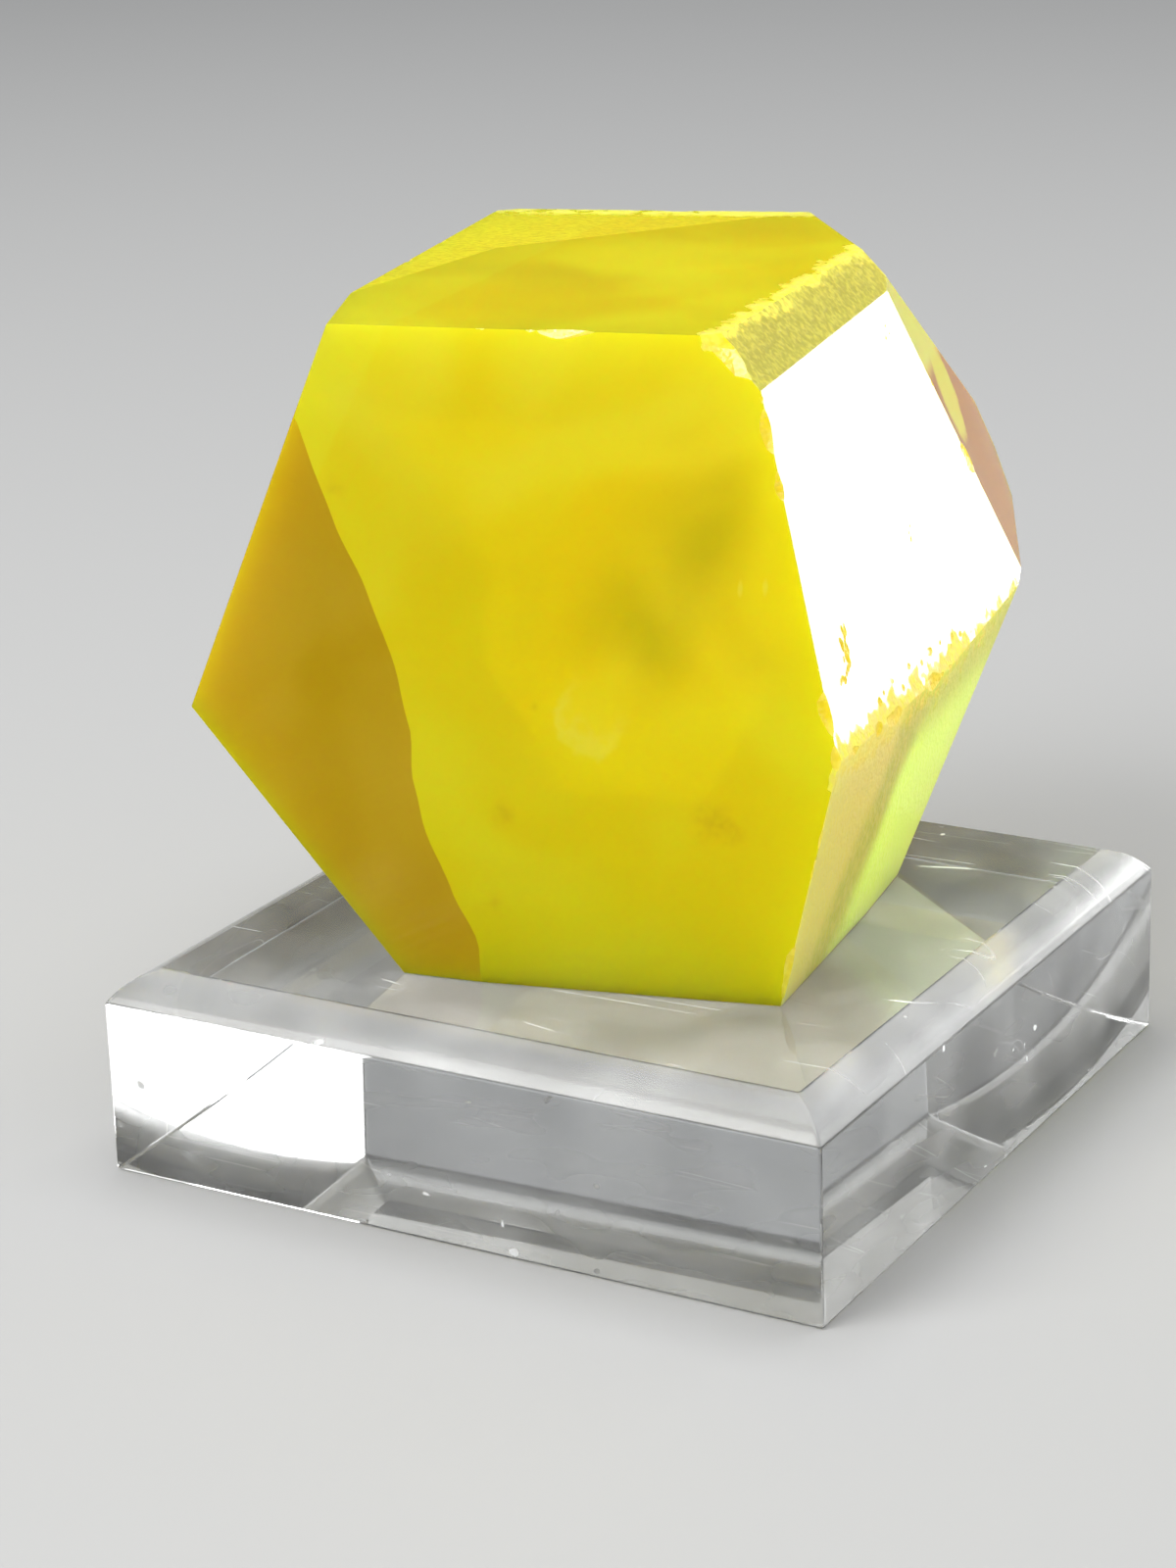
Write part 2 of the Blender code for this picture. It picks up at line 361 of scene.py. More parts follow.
def pick_faces(obj, wanted):
    """In edit mode, select just the faces that wanted(face) accepts."""
    bpy.ops.mesh.select_all(action="DESELECT")
    bm = bmesh.from_edit_mesh(obj.data)
    for face in bm.faces:
        face.select_set(wanted(face))
    bmesh.update_edit_mesh(obj.data)


def settle(obj):
    """Bring the object to the origin, unturned and unscaled, its place kept in its mesh."""
    only(obj)
    bpy.ops.object.transform_apply(location=True, rotation=True, scale=True)


def apply_modifier(obj, kind, name, **values):
    """Add a modifier with these values and apply it."""
    only(obj)
    modifier = obj.modifiers.new(name, kind)
    for key, value in values.items():
        setattr(modifier, key, value)
    bpy.ops.object.modifier_apply(modifier=name)


# ---- crystal shape ----
def face_plane(name):
    """A crystal face's outward normal and a point on it."""
    azimuth, elevation, distance = FACES[name]
    normal = direction(radians(azimuth), radians(elevation))
    return normal, CRYSTAL_CENTRE + normal * distance * MM


def margin_plane(name):
    """The same for one of the top's two falling margins."""
    (x, y), fall = TOP_MARGINS[name]
    normal = direction(radians(fall), pi / 2.0 - MARGIN_FALL)
    return normal, Vector((x * MM, y * MM, CRYSTAL_TOP))


def base_plane():
    """The same for the face that the crystal rests on."""
    return -UP, Vector((0.0, 0.0, BLOCK_HIGH.z + CONTACT_GAP))


def all_planes():
    """Normal and point of every face, in the order in which they are cut."""
    planes = {name: face_plane(name) for name in FACES}
    planes.update({name: margin_plane(name) for name in TOP_MARGINS})
    planes["base"] = base_plane()
    return planes


def cut_blank(planes):
    """Cut the crystal's faces one after another from a cube."""
    bpy.ops.object.select_all(action="DESELECT")
    bpy.ops.mesh.primitive_cube_add(size=ROUGH_BLANK, location=CRYSTAL_CENTRE)
    crystal = bpy.context.object
    settle(crystal)
    start_edit(crystal)
    for normal, point in planes.values():
        bpy.ops.mesh.select_all(action="SELECT")
        bpy.ops.mesh.bisect(plane_co=point, plane_no=normal, use_fill=True, clear_outer=True)
    end_edit()
    return crystal


def crease_axes(planes):
    """Foot of the edge between front and front_left, its upward run and the way to its right."""
    front, front_point = planes["front"]
    left, left_point = planes["front_left"]
    base, base_point = planes["base"]
    upward = front.cross(left).normalized()
    if upward.z < 0.0:
        upward = -upward
    rightward = upward.cross(front).normalized()
    if rightward.x < 0.0:
        rightward = -rightward
    distances = Vector((front.dot(front_point), left.dot(left_point), base.dot(base_point)))
    return Matrix((front, left, base)).inverted() @ distances, upward, rightward


def wave_crease(crystal, planes):
    """Turn the straight edge between front and front_left into a growth line that wanders."""
    foot, upward, rightward = crease_axes(planes)
    front = planes["front"][0]
    left = planes["front_left"][0]

    def on_crease_faces(face):
        return face.normal.dot(front) > PARALLEL or face.normal.dot(left) > PARALLEL

    start_edit(crystal)
    for lane in CREASE_LANES:
        for side in (-1.0, 1.0):
            pick_faces(crystal, on_crease_faces)
            point = foot + rightward * side * lane * MM
            bpy.ops.mesh.bisect(plane_co=point, plane_no=rightward)
    for station in range(1, int(CREASE_LENGTH / CREASE_STATION)):
        pick_faces(crystal, on_crease_faces)
        bpy.ops.mesh.bisect(plane_co=foot + upward * station * CREASE_STATION, plane_no=upward)
    end_edit()

    bm = bmesh.new()
    bm.from_mesh(crystal.data)
    for vert in bm.verts:
        if not all(on_crease_faces(face) for face in vert.link_faces):
            continue
        offset = vert.co - foot
        aside = offset.dot(rightward)
        if abs(aside) >= CREASE_REACH:
            continue
        fade = smoothstep(1.0 - abs(aside) / CREASE_REACH)
        stray = along_table(CREASE_WAVE, offset.dot(upward) / MM) * MM * fade
        vert.co += rightward * stray
    bm.to_mesh(crystal.data)
    bm.free()


def weigh_worn_edges(crystal, planes):
    """Give the bevel its edges: all but the shallow ones and the soft one between front and top."""
    bm = bmesh.new()
    bm.from_mesh(crystal.data)
    weight = bm.edges.layers.float.new("bevel_weight_edge")
    soft_pair = (planes["front"][0], planes["top"][0])
    for edge in bm.edges:
        sharp = edge.calc_face_angle(0.0) > WORN_MIN_ANGLE
        soft = all(max(face.normal.dot(normal) for face in edge.link_faces) > NEARLY_PARALLEL
                   for normal in soft_pair)
        edge[weight] = 1.0 if sharp and not soft else 0.0
    bm.to_mesh(crystal.data)
    bm.free()


def onto_edge(point, planes, face_a, face_b):
    """Slide a point onto the line where two faces meet, square to it."""
    normal_a, point_a = planes[face_a]
    normal_b, point_b = planes[face_b]
    for _ in range(EDGE_STEPS):
        point = point - normal_a * normal_a.dot(point - point_a)
        point = point - normal_b * normal_b.dot(point - point_b)
    return point


def edge_bites(planes, rng):
    """Centre, stretch axis and radius, in metres, of each lump that bites an edge."""
    chips = list(CHIPS)
    for face_a, face_b, start, end, count, radius in CHIP_RUNS:
        for _ in range(count):
            near = Vector(start).lerp(Vector(end), rng.random())
            size = radius * (CHIP_SIZE[0] + CHIP_SIZE[1] * rng.random() ** CHIP_SIZE_POWER)
            chips.append((face_a, face_b, near, size, size * rng.uniform(*CHIP_DEPTH)))
    for face_a, face_b, near, radius, depth in chips:
        spot = onto_edge(Vector(near) * MM, planes, face_a, face_b)
        outward = (planes[face_a][0] + planes[face_b][0]).normalized()
        edge = planes[face_a][0].cross(planes[face_b][0]).normalized()
        yield spot + outward * (radius - depth) * MM, edge, radius * MM


def pit_bites(planes, rng):
    """The same for the pits on single faces."""
    for name, start, end, count, radius in PIT_RUNS:
        normal, point = planes[name]
        run = (Vector(end) - Vector(start)).normalized()
        for step in range(count):
            spot = Vector(start).lerp(Vector(end), (step + rng.random()) / count) * MM
            spot += run.cross(normal) * rng.gauss(0.0, PIT_SPREAD) * radius * MM
            size = radius * rng.uniform(*PIT_SIZE) * MM
            spot -= normal * normal.dot(spot - point)
            yield spot + normal * size * rng.uniform(*PIT_LIFT), run, size


def bite_cutter(planes, settings):
    """All the lumps that bite the crystal, as one mesh."""
    rng = random.Random(settings.seed)
    bites = list(edge_bites(planes, rng)) + list(pit_bites(planes, rng))
    patterns = []
    for subdivisions in (2, 3):
        bpy.ops.object.select_all(action="DESELECT")
        bpy.ops.mesh.primitive_ico_sphere_add(subdivisions=subdivisions, radius=1.0)
        patterns.append(bpy.context.object)
    lumps = []
    for centre, axis, radius in bites:
        pattern = patterns[1] if radius > LARGE_LUMP else patterns[0]
        lump = bpy.data.objects.new("chip lump", pattern.data.copy())
        bpy.context.scene.collection.objects.link(lump)
        shift = Vector((rng.random(), rng.random(), rng.random())) * LUMP_NOISE_SHIFT
        stretch = rng.uniform(*LUMP_STRETCH)
        for vert in lump.data.vertices:
            uneven = LUMP_UNEVEN * noise.noise(vert.co * LUMP_NOISE + shift)
            vert.co *= radius * (1.0 + uneven)
            vert.co += axis * vert.co.dot(axis) * stretch
            vert.co += centre
        lumps.append(lump)
    for pattern in patterns:
        bpy.data.objects.remove(pattern, do_unlink=True)
    bpy.ops.object.select_all(action="DESELECT")
    for lump in lumps:
        lump.select_set(True)
    bpy.context.view_layer.objects.active = lumps[0]
    bpy.ops.object.join()
    cutter = bpy.context.object
    cutter.data.materials.append(bpy.data.materials.new("broken"))
    return cutter


def mark_faces(crystal, planes):
    """Store, for the material, what kind of surface each mesh face is."""
    mesh = crystal.data
    broken = [index for index, slot in enumerate(mesh.materials) if slot.name == "broken"]
    owners = []
    for poly in mesh.polygons:
        if poly.material_index in broken:
            owners.append("chip")
            continue
        fit = {name: normal.dot(poly.normal) - abs(normal.dot(poly.center - point)) / MM
               for name, (normal, point) in planes.items()}
        owners.append(max(fit, key=fit.get))
    for kind, names in KINDS.items():
        attribute = mesh.attributes.new(kind, "FLOAT", "FACE")
        attribute.data.foreach_set("value", [float(owner in names) for owner in owners])
    mesh.polygons.foreach_set("material_index", [0] * len(mesh.polygons))


# ---- materials ----
class Nodes:
    """Short-hand for building one material's node tree."""

    def __init__(self, name):
        self.material = bpy.data.materials.new(name)
        self.material.use_nodes = True
        self.tree = self.material.node_tree
        self.shader = self.tree.nodes["Principled BSDF"]
        self.output = self.tree.nodes["Material Output"]
        self.place = self.tree.nodes.new("ShaderNodeTexCoord").outputs["Object"]

    def add(self, kind, inputs=None, **values):
        """A node with these inputs and values."""
        node = self.tree.nodes.new(kind)
        for key, value in values.items():
            setattr(node, key, value)
        for key, value in (inputs or {}).items():
            self.feed(node.inputs[key], value)
        return node

    def feed(self, socket, value):
        """Link an output to a socket, or set the socket to a plain value."""
        if isinstance(value, bpy.types.NodeSocket):
            self.tree.links.new(value, socket)
        elif socket.type == "RGBA" and len(value) == 3:
            socket.default_value = (*value, 1.0)
        else:
            socket.default_value = value

    def finish(self, values):
        """Feed the shader's sockets, and give the material."""
        for key, value in values.items():
            self.feed(self.shader.inputs[key], value)
        return self.material

    def math(self, operation, a, b=0.0, c=0.0):
        """Number from numbers."""
        return self.add("ShaderNodeMath", {0: a, 1: b, 2: c}, operation=operation).outputs[0]

    def vector(self, operation, a, b):
        """Vector from vectors."""
        inputs = {0: a, 1: b}
        return self.add("ShaderNodeVectorMath", inputs, operation=operation).outputs["Vector"]

    def length(self, a):
        """Length of a vector."""
        return self.add("ShaderNodeVectorMath", {0: a}, operation="LENGTH").outputs["Value"]

    def along(self, a, way):
        """How far a vector goes along a way."""
        inputs = {0: a, 1: way}
        return self.add("ShaderNodeVectorMath", inputs, operation="DOT_PRODUCT").outputs["Value"]

    def coordinates(self):
        """X, Y and Z of the shaded point, in metres."""
        return self.add("ShaderNodeSeparateXYZ", {"Vector": self.place}).outputs

    def noise(self, scale, detail, roughness=0.5, distortion=0.0, place=None):
        """Noise around one half."""
        inputs = {"Vector": place or self.place, "Scale": scale, "Detail": detail,
                  "Roughness": roughness, "Distortion": distortion}
        return self.add("ShaderNodeTexNoise", inputs).outputs["Fac"]

    def ramp(self, value, low, high, start=0.0, end=1.0):
        """Smooth change from start to end while value goes from low to high."""
        inputs = {"Value": value, "From Min": low, "From Max": high, "To Min": start, "To Max": end}
        node = self.add("ShaderNodeMapRange", inputs, interpolation_type="SMOOTHSTEP")
        return node.outputs["Result"]

    def mix(self, factor, a, b):
        """Colour between two colours."""
        node = self.add("ShaderNodeMix", data_type="RGBA", blend_type="MIX")
        self.feed(node.inputs[0], factor)
        self.feed(node.inputs[6], a)
        self.feed(node.inputs[7], b)
        return node.outputs[2]

    def blend(self, factor, a, b):
        """The same for plain numbers."""
        node = self.add("ShaderNodeMix", data_type="FLOAT")
        self.feed(node.inputs[0], factor)
        self.feed(node.inputs[2], a)
        self.feed(node.inputs[3], b)
        return node.outputs[0]

    def attribute(self, name):
        """One of the mesh's own marks."""
        return self.add("ShaderNodeAttribute", attribute_name=name).outputs["Fac"]

    def bump(self, height, strength, distance, under=None):
        """Normal raised by a height, on top of another one."""
        inputs = {"Height": height, "Strength": strength, "Distance": distance}
        if under:
            inputs["Normal"] = under
        return self.add("ShaderNodeBump", inputs).outputs["Normal"]

    def total(self, factors):
        """Sum of some factors, held to at most 1."""
        result = factors[0]
        for factor in factors[1:]:
            result = self.math("ADD", result, factor)
        return self.math("MINIMUM", result, 1.0)

    def spots(self, marks, wobble, ragged, core=0.5, tall=1.0):
        """1 at each of some points, fading from its core to a ragged edge."""
        found = []
        for centre, radius in marks:
            reach = radius * MM
            away = self.vector("SUBTRACT", self.place, Vector(centre) * MM)
            if tall != 1.0:
                away = self.vector("MULTIPLY", away, (1.0, 1.0, 1.0 / tall))
            away = self.math("MULTIPLY_ADD", wobble, ragged * 2.0 * reach, self.length(away))
            edge = reach * (1.0 + ragged)
            found.append(self.ramp(away, edge * core, edge, 1.0, 0.0))
        return self.total(found)


def shares(n, kinds, table):
    """Each kind's mark on the mesh, times its share in the table."""
    return [kinds[kind] if share == 1.0 else n.math("MULTIPLY", kinds[kind], share)
            for kind, share in table.items()]


def body_colour(n, settings, planes, noises, wisps):
    """The crystal's yellow, with the clouds and marks that lie in it, painted shade on the right of
    the front and a painted highlight at its upper left.
    """
    cloudy, ragged, grain, _ = noises
    bright = n.math("MULTIPLY", n.spots(BRIGHT_CLOUDS, cloudy, ragged=0.9, core=0.2), BRIGHT_TINT)
    painted_shade = n.math("MULTIPLY", n.spots(PAINTED_SHADE_CLOUDS, cloudy, ragged=0.9, core=0.1), PAINTED_SHADE_TINT)
    smudge = n.math("MULTIPLY", n.spots(SMUDGES, ragged, ragged=0.7, core=0.1),
                    n.ramp(grain, 0.35, 0.65, *SMUDGE_TINT))
    streaks = n.math("MULTIPLY", n.spots(STREAKS, ragged, ragged=0.6, tall=5.0), STREAK_TINT)
    pale = n.math("MAXIMUM", curved_flaw(n, ragged), streaks)
    # painted highlight: the front is painted brighter at its upper left
    facet_light = n.math("MULTIPLY", painted_facet_light(n, planes), FACET_LIGHT_TINT)
    colour = n.mix(wisps, settings.deep_colour, settings.bright_colour)
    colour = n.mix(bright, colour, settings.bright_colour)
    # painted shade over the right part of the front
    colour = n.mix(painted_shade, colour, settings.shade_colour)
    colour = n.mix(smudge, colour, settings.smudge_colour)
    colour = n.mix(pale, colour, settings.pale_colour)
    return n.mix(facet_light, colour, settings.facet_light_colour)


def curved_flaw(n, wobble):
    """1 along a ragged crescent just inside the front."""
    offset = n.vector("SUBTRACT", n.place, Vector(VEIL_CENTRE) * MM)
    away = n.math("MULTIPLY_ADD", wobble, VEIL_WOBBLE * MM, n.length(offset))
    rim = VEIL_RADIUS * MM + VEIL_WOBBLE / 2.0 * MM
    inner, outer = VEIL_INSIDE
    ring = n.math("MULTIPLY", n.ramp(away, rim - inner * MM, rim - outer * MM, VEIL_TINT[0], 1.0),
                  n.ramp(away, rim, rim + VEIL_OUTSIDE * MM, 1.0, 0.0))
    low, high = VEIL_SIDES
    lit = n.ramp(n.along(offset, VEIL_WAY), low * MM, high * MM, 0.0, VEIL_TINT[1])
    return n.math("MULTIPLY", ring, lit)


def painted_facet_light(n, planes):
    """Painted highlight: 1 at the upper left of a line down the front, where the front is painted
    brighter.
    """
    start, end = (Vector(point) * MM for point in FACET_LIGHT_LINE)
    outward = (end - start).cross(planes["front"][0]).normalized()
    if outward.x > 0.0:
        outward = -outward
    beyond = n.math("SUBTRACT", n.along(n.place, outward), outward.dot(start))
    low, high = FACET_LIGHT_FADE
    return n.ramp(beyond, low * MM, high * MM)


def foot_colour(n, settings, cloudy, grain):
    """Straw before the foot's ridge and lime behind it, where light gathers, and where that is."""
    (y0, z0), (y1, z1) = FOOT_RIDGE
    lean = (y1 - y0) / (z1 - z0)
    parts = n.coordinates()
    beyond = n.math("MULTIPLY_ADD", parts["Z"], -lean, parts["Y"])
    beyond = n.math("ADD", beyond, (lean * z0 - y0) * MM)
    beyond = n.math("MULTIPLY_ADD", cloudy, FOOT_WOBBLE * MM, beyond)
    near = n.ramp(beyond, 0.0, STRAW_FADE * MM, 1.0, 0.0)
    low, high = LIME_HEIGHTS
    lime = n.math("MULTIPLY", n.ramp(beyond, LIME_BAND[0] * MM, LIME_BAND[1] * MM),
                  n.ramp(parts["Z"], low * MM, high * MM, 1.0, LIME_LEFT_OVER))
    dusty = n.ramp(grain, 0.35, 0.7, 0.0, 0.5)
    colour = n.mix(dusty, settings.olive_colour, settings.straw_colour)
    colour = n.mix(near, colour, settings.straw_colour)
    return n.mix(lime, colour, settings.lime_colour), lime


def corner_colour(n, settings, ragged):
    """Painted refraction: orange with a yellow leaf, pale above."""
    above = n.ramp(n.coordinates()["Z"], (REFRACTION_TOP - REFRACTION_FADE) * MM, REFRACTION_TOP * MM)
    leaf = n.spots(LEAF, ragged, ragged=0.2, core=0.8, tall=1.3)
    colour = n.mix(leaf, settings.refraction_colour, settings.bright_colour)
    return n.mix(above, colour, settings.pale_colour)


def edge_bruises(n, planes, wobble):
    """1 in a ragged strip along the knocked edges."""
    strips = []
    ragged = n.math("MULTIPLY_ADD", wobble, BRUISE_WOBBLE * MM, -BRUISE_WOBBLE / 2.0 * MM)
    for sides in BRUISED_EDGES:
        near_sides = []
        for face, wide in sides:
            normal, point = planes[face]
            below = n.math("SUBTRACT", normal.dot(point), n.along(n.place, normal))
            near_sides.append(n.ramp(n.math("ADD", below, ragged), wide * BRUISE_CORE * MM,
                                     wide * MM, 1.0, 0.0))
        strips.append(n.math("MULTIPLY", *near_sides))
    return n.total(strips)


def sulfur_material(settings):
    """Cloudy yellow crystal: polished, frosted, uneven and chipped faces."""
    n = Nodes("sulfur")
    planes = all_planes()
    kinds = {kind: n.attribute(kind) for kind in KINDS}
    noises = [n.noise(*way) for way in (CLOUDY_NOISE, RAGGED_NOISE, GRAIN_NOISE, POWDER_NOISE)]
    cloudy, ragged, grain, powder = noises
    wisps = n.ramp(cloudy, 0.38, 0.66)
    colour = body_colour(n, settings, planes, noises, wisps)

    # the faces that differ from the rest
    # painted shade: the shallow face at the left front is painted a dark ochre, lighter in its clouds
    shallow_shade_colour = n.mix(wisps, settings.shallow_shade_colour, settings.shallow_shade_light)
    colour = n.mix(kinds["shallow"], colour, shallow_shade_colour)
    margin = n.math("MULTIPLY", kinds["margin"], n.ramp(powder, 0.3, 0.75, *MARGIN_TINT))
    colour = n.mix(margin, colour, settings.shade_colour)
    frost = n.ramp(powder, 0.36, 0.72, 0.0, FROST_POWDER)
    frost_colour = n.mix(frost, settings.frost_colour, settings.pale_colour)
    colour = n.mix(kinds["frosted"], colour, frost_colour)
    foot, lime = foot_colour(n, settings, cloudy, grain)
    colour = n.mix(kinds["rough_foot"], colour, foot)
    # painted refraction on the corner face
    colour = n.mix(kinds["refracting_corner"], colour, corner_colour(n, settings, ragged))

    # bruises along the edges and inside the chips
    speckle = n.ramp(grain, 0.44, 0.60)
    bruise = edge_bruises(n, planes, ragged)
    tint = n.math("MULTIPLY", bruise, n.math("MULTIPLY", speckle, BRUISE_TINT))
    colour = n.mix(tint, colour, settings.bruise_colour)
    chip_powder = n.math("MULTIPLY", speckle, CHIP_POWDER)
    chip_colour = n.mix(chip_powder, settings.chip_colour, settings.bruise_colour)
    colour = n.mix(n.math("MULTIPLY", kinds["chipped"], CHIP_TINT), colour, chip_colour)

    roughness = n.ramp(cloudy, 0.3, 0.7, *BODY_ROUGHNESS)
    for kind, value in KIND_ROUGHNESS.items():
        roughness = n.blend(kinds[kind], roughness, value)
    roughness = n.blend(bruise, roughness, BRUISE_ROUGHNESS)

    uneven = n.total(shares(n, kinds, KIND_UNEVEN) + [bruise])
    swell = n.bump(n.noise(*SWELL_NOISE), *SWELL_BUMP)
    strength, distance = POWDER_BUMP
    surface = n.bump(powder, n.math("MULTIPLY", uneven, strength), distance, swell)
    foot_opaque = n.math("MULTIPLY", kinds["rough_foot"], n.ramp(lime, 0.0, 1.0, *FOOT_OPAQUE))
    opaque = n.total(shares(n, kinds, KIND_OPAQUE) + [foot_opaque])

    depth = n.add("ShaderNodeVolumeAbsorption",
                  {"Color": settings.depth_colour, "Density": DEPTH_DENSITY})
    n.tree.links.new(depth.outputs["Volume"], n.output.inputs["Volume"])
    return n.finish({
        "Base Color": colour,
        "Roughness": roughness,
        "Normal": surface,
        "IOR": SULFUR_IOR,
        "Transmission Weight": n.blend(opaque, settings.clarity, 0.0),
        "Subsurface Weight": 1.0,
        "Subsurface Radius": GLOW_SPREAD,
        "Subsurface Scale": settings.glow_depth,
    })


def acrylic_material(settings):
    """Clear cast acrylic with hairline scratches, specks of dust and a slightly milky bevel."""
    n = Nodes("clear_acrylic")
    slow = n.noise(*SLOW_NOISE)
    low, high = SCRATCH_BREAKS
    lines = []
    for turn, shift in SCRATCH_WAYS:
        mapping = {"Vector": n.place, "Rotation": turn, "Location": (shift, shift, shift),
                   "Scale": SCRATCH_SCALE}
        lengthwise = n.add("ShaderNodeMapping", mapping).outputs[0]
        level = n.noise(1.0, 0.0, place=lengthwise)
        off_middle = n.math("ABSOLUTE", n.math("SUBTRACT", level, 0.5))
        line = n.ramp(off_middle, 0.0, SCRATCH_WIDTH, 1.0, 0.0)
        rarer = SCRATCH_RARER * shift
        lines.append(n.math("MULTIPLY", line, n.ramp(slow, low + rarer, high + rarer)))
    height = n.coordinates()["Z"]
    top = BLOCK_HIGH.z
    on_top = n.ramp(height, top - TOP_SKIN[0], top - TOP_SKIN[1])
    bevel_foot = top - settings.bevel_height
    sloping = n.math("SUBTRACT", n.ramp(height, bevel_foot, bevel_foot + BEVEL_FADE), on_top)
    scratch = n.math("MULTIPLY", n.total(lines), n.blend(on_top, SIDE_SCRATCHES, 1.0))
    dust = n.math("MULTIPLY", n.ramp(n.noise(*DUST_NOISE), *DUST_LEVELS), n.ramp(slow, low, high))
    mark = n.total([n.math("MULTIPLY", where, rough)
                    for where, rough in zip((scratch, dust, sloping), MARK_ROUGHNESS)])
    haze = n.math("MULTIPLY_ADD", sloping, BEVEL_HAZE, n.ramp(slow, *CLEAR_LEVELS, *CLEAR_HAZE))
    haze = n.math("ADD", haze, n.math("MULTIPLY", n.total([scratch, dust]), MARK_HAZE))
    return n.finish({
        "Base Color": settings.colour,
        "Roughness": n.math("ADD", mark, ACRYLIC_ROUGHNESS),
        "IOR": ACRYLIC_IOR,
        "Transmission Weight": n.math("SUBTRACT", 1.0, haze),
    })


# ---- settings ----
def colour_property(name, description, value):
    """A colour that the panel shows."""
    return FloatVectorProperty(name=name, description=description, subtype="COLOR", size=3,
                               min=0.0, max=1.0, default=value)


def length_property(name, description, value):
    """A length in metres that the panel shows."""
    return FloatProperty(name=name, description=description, default=value, min=0.0, unit="LENGTH")


def power_property(name, description, value):
    """A light's power in watts that the panel shows."""
    return FloatProperty(name=name, description=description, default=value, min=0.0, unit="POWER")


class CrystalSettings(bpy.types.PropertyGroup):
    """Sizes and colours of the crystal."""
    wear: length_property("Edge wear", "Width of the worn flat along the edges", 0.05 * MM)
    seed: IntProperty(name="Chip seed", description="Picks another set of small chips", default=11)
    clarity: FloatProperty(name="Clarity", description="Share of the light that passes clear",
                           default=0.42, min=0.0, max=1.0)
    glow_depth: length_property("Glow depth", "How deep light spreads in the cloudy crystal",
                                14.0 * MM)
    bright_colour: colour_property("Bright colour", "Where the crystal is clearest",
                                   (0.97, 0.84, 0.0))
    deep_colour: colour_property("Deep colour", "In the cloudy parts", (0.93, 0.76, 0.0))
    # painted highlight at the upper left of the front
    facet_light_colour: colour_property("Facet highlight colour", "Of the brighter upper left of the front",
                                  (0.98, 0.92, 0.02))
    pale_colour: colour_property("Pale colour", "Bruised and powdery spots", (0.98, 0.90, 0.10))
    # painted shade of the dark clouds; the top's grainy margins use it too
    shade_colour: colour_property("Shade colour", "In the shaded clouds", (0.64, 0.58, 0.0))
    smudge_colour: colour_property("Smudge colour", "Of small dirty marks", (0.36, 0.28, 0.01))
    bruise_colour: colour_property("Bruise colour", "Powdery edges", (0.88, 0.68, 0.05))
    olive_colour: colour_property("Olive colour", "Far part of the foot face", (0.62, 0.60, 0.01))
    lime_colour: colour_property("Lime colour", "Where light comes through the foot",
                                 (0.74, 1.0, 0.10))
    # painted shade of the shallow face at the left front, with its lighter clouds
    shallow_shade_light: colour_property("Shallow face light", "Its lighter clouds", (0.49, 0.33, 0.0))
    shallow_shade_colour: colour_property("Shallow face colour", "The shallow face at the left front",
                                    (0.46, 0.30, 0.0))
    frost_colour: colour_property("Frost colour", "The frosted shoulder faces",
                                  (0.33, 0.305, 0.002))
    straw_colour: colour_property("Straw colour", "The uneven foot face at the right",
                                  (0.88, 0.74, 0.10))
    # painted refraction: the orange that the corner face shows through it
    refraction_colour: colour_property("Refraction colour", "The narrow corner face", (0.58, 0.24, 0.0))
    chip_colour: colour_property("Chip colour", "Inside the chips", (0.66, 0.47, 0.0))
    depth_colour: colour_property("Depth colour", "Taken on by light that crosses the crystal",
                                  (1.0, 0.96, 0.06))


class BlockSettings(bpy.types.PropertyGroup):
    """Sizes and colour of the clear block."""
    bevel_width: length_property("Bevel width", "Of the top bevel, across the top", 2.7 * MM)
    bevel_height: length_property("Bevel height", "Of the top bevel, down the side", 1.9 * MM)
    colour: colour_property("Colour", "Tint of the clear block", (0.97, 0.98, 0.975))


class StudioSettings(bpy.types.PropertyGroup):
    """The pale floor and the soft lights."""
    floor_colour: colour_property("Floor colour", "Of the plain floor", (0.44, 0.44, 0.435))
    dome_light: FloatProperty(name="Dome light", description="Of the soft dome overhead",
                              default=0.5, min=0.0)
    horizon_light: FloatProperty(name="Horizon light", description="Near the horizon",
                                 default=0.05, min=0.0)
    window_power: power_property("Window power", "Of the light behind", 0.2)
    side_power: power_property("Side power", "Of the light at the right", 4.0)
    overhead_power: power_property("Overhead power", "Of the light above", 3.8)
    fill_power: power_property("Fill power", "Of the soft light in front", 3.8)
    glare_power: power_property("Glare power", "Of the panel that the side face mirrors", 0.075)


# ---- operators ----
class SPECIMEN_OT_crystal(bpy.types.Operator):
    """Cut, wear and chip the sulfur crystal."""
    bl_idname = "specimen.crystal"
    bl_label = "Sulfur crystal"

    def execute(self, context):
        settings = context.scene.sulfur_crystal
        planes = all_planes()
        crystal = cut_blank(planes)
        crystal.name = "sulfur_crystal_dressed"
        wave_crease(crystal, planes)
        weigh_worn_edges(crystal, planes)
        apply_modifier(crystal, "BEVEL", "edge wear", width=settings.wear, segments=1,
                       limit_method="WEIGHT")
        crystal.data.materials.append(bpy.data.materials.new("grown"))
        cutter = bite_cutter(planes, settings)
        apply_modifier(crystal, "BOOLEAN", "chips", operation="DIFFERENCE", object=cutter,
                       use_self=True, material_mode="TRANSFER")
        bpy.data.objects.remove(cutter, do_unlink=True)
        mark_faces(crystal, planes)
        crystal.data.materials.clear()
        crystal.data.materials.append(sulfur_material(settings))
        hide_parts(CRYSTAL_NODE)
        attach(crystal, "root")
        return {"FINISHED"}


